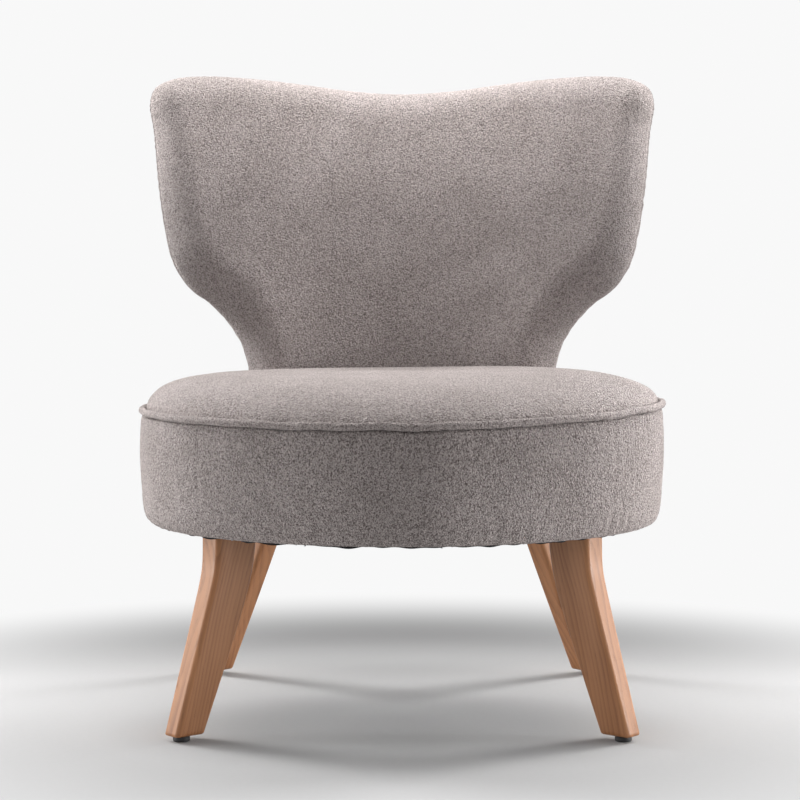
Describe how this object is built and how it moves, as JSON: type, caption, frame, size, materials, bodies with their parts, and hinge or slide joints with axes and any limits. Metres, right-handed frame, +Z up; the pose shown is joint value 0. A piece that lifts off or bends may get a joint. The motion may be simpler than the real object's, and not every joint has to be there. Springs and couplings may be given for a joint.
{
  "type": "slipper chair",
  "caption": "Low armless upholstered chair with a round drum seat, a curved winged back and splayed tapering wooden legs.",
  "frame": {"origin": "on the floor, under the middle of the chair's floor plan", "axes": "+Z up, -Y towards the front, +X towards the right seen from the front; the drum's axis stands a little in front of the origin"},
  "size_m": [0.6944, 0.6882, 0.8175],
  "materials": {
    "upholstery": "looped pebbly pile, warm taupe grey, matt",
    "foam": "open-cell upholstery foam and wadding",
    "leg_wood": "stained open-grained hardwood, satin lacquer",
    "frame_wood": "bare sawn hardwood",
    "webbing": "woven elastic webbing",
    "dust_cloth": "thin black non-woven cloth",
    "steel": "zinc-plated",
    "glide_plastic": "black moulded, slightly scuffed"
  },
  "bodies": {
    "root": {"seat_top_cover": "upholstery", "seat_welt": "upholstery", "seat_boxing": "upholstery", "seat_foam": "foam", "seat_side_padding": "foam", "dust_cover": "dust_cloth", "front_rail": "frame_wood", "left_rail": "frame_wood", "right_rail": "frame_wood", "rear_rail": "frame_wood", "seat_strap_lengthwise_1": "webbing", "seat_strap_lengthwise_2": "webbing", "seat_strap_lengthwise_3": "webbing", "seat_strap_crosswise_1": "webbing", "seat_strap_crosswise_2": "webbing", "seat_strap_crosswise_3": "webbing", "seat_strap_crosswise_4": "webbing", "front_left_leg": "leg_wood", "front_left_glide": "glide_plastic", "front_left_corner_block": "frame_wood", "front_left_leg_washer": "steel", "front_left_leg_bolt": "steel", "front_right_leg": "leg_wood", "front_right_glide": "glide_plastic", "front_right_corner_block": "frame_wood", "front_right_leg_washer": "steel", "front_right_leg_bolt": "steel", "rear_left_leg": "leg_wood", "rear_left_glide": "glide_plastic", "rear_left_corner_block": "frame_wood", "rear_left_leg_washer": "steel", "rear_left_leg_bolt": "steel", "rear_right_leg": "leg_wood", "rear_right_glide": "glide_plastic", "rear_right_corner_block": "frame_wood", "rear_right_leg_washer": "steel", "rear_right_leg_bolt": "steel", "back_left_post": "frame_wood", "back_left_wing_frame": "frame_wood", "back_left_post_bolt_1": "steel", "back_left_post_bolt_2": "steel", "back_right_post": "frame_wood", "back_right_wing_frame": "frame_wood", "back_right_post_bolt_1": "steel", "back_right_post_bolt_2": "steel", "back_top_rail": "frame_wood", "back_lower_rail": "frame_wood", "back_strap_1": "webbing", "back_strap_2": "webbing", "back_strap_3": "webbing", "back_front_cover": "upholstery", "back_rear_cover": "upholstery", "back_front_foam": "foam", "back_rear_padding": "foam"}
  },
  "joints": []
}
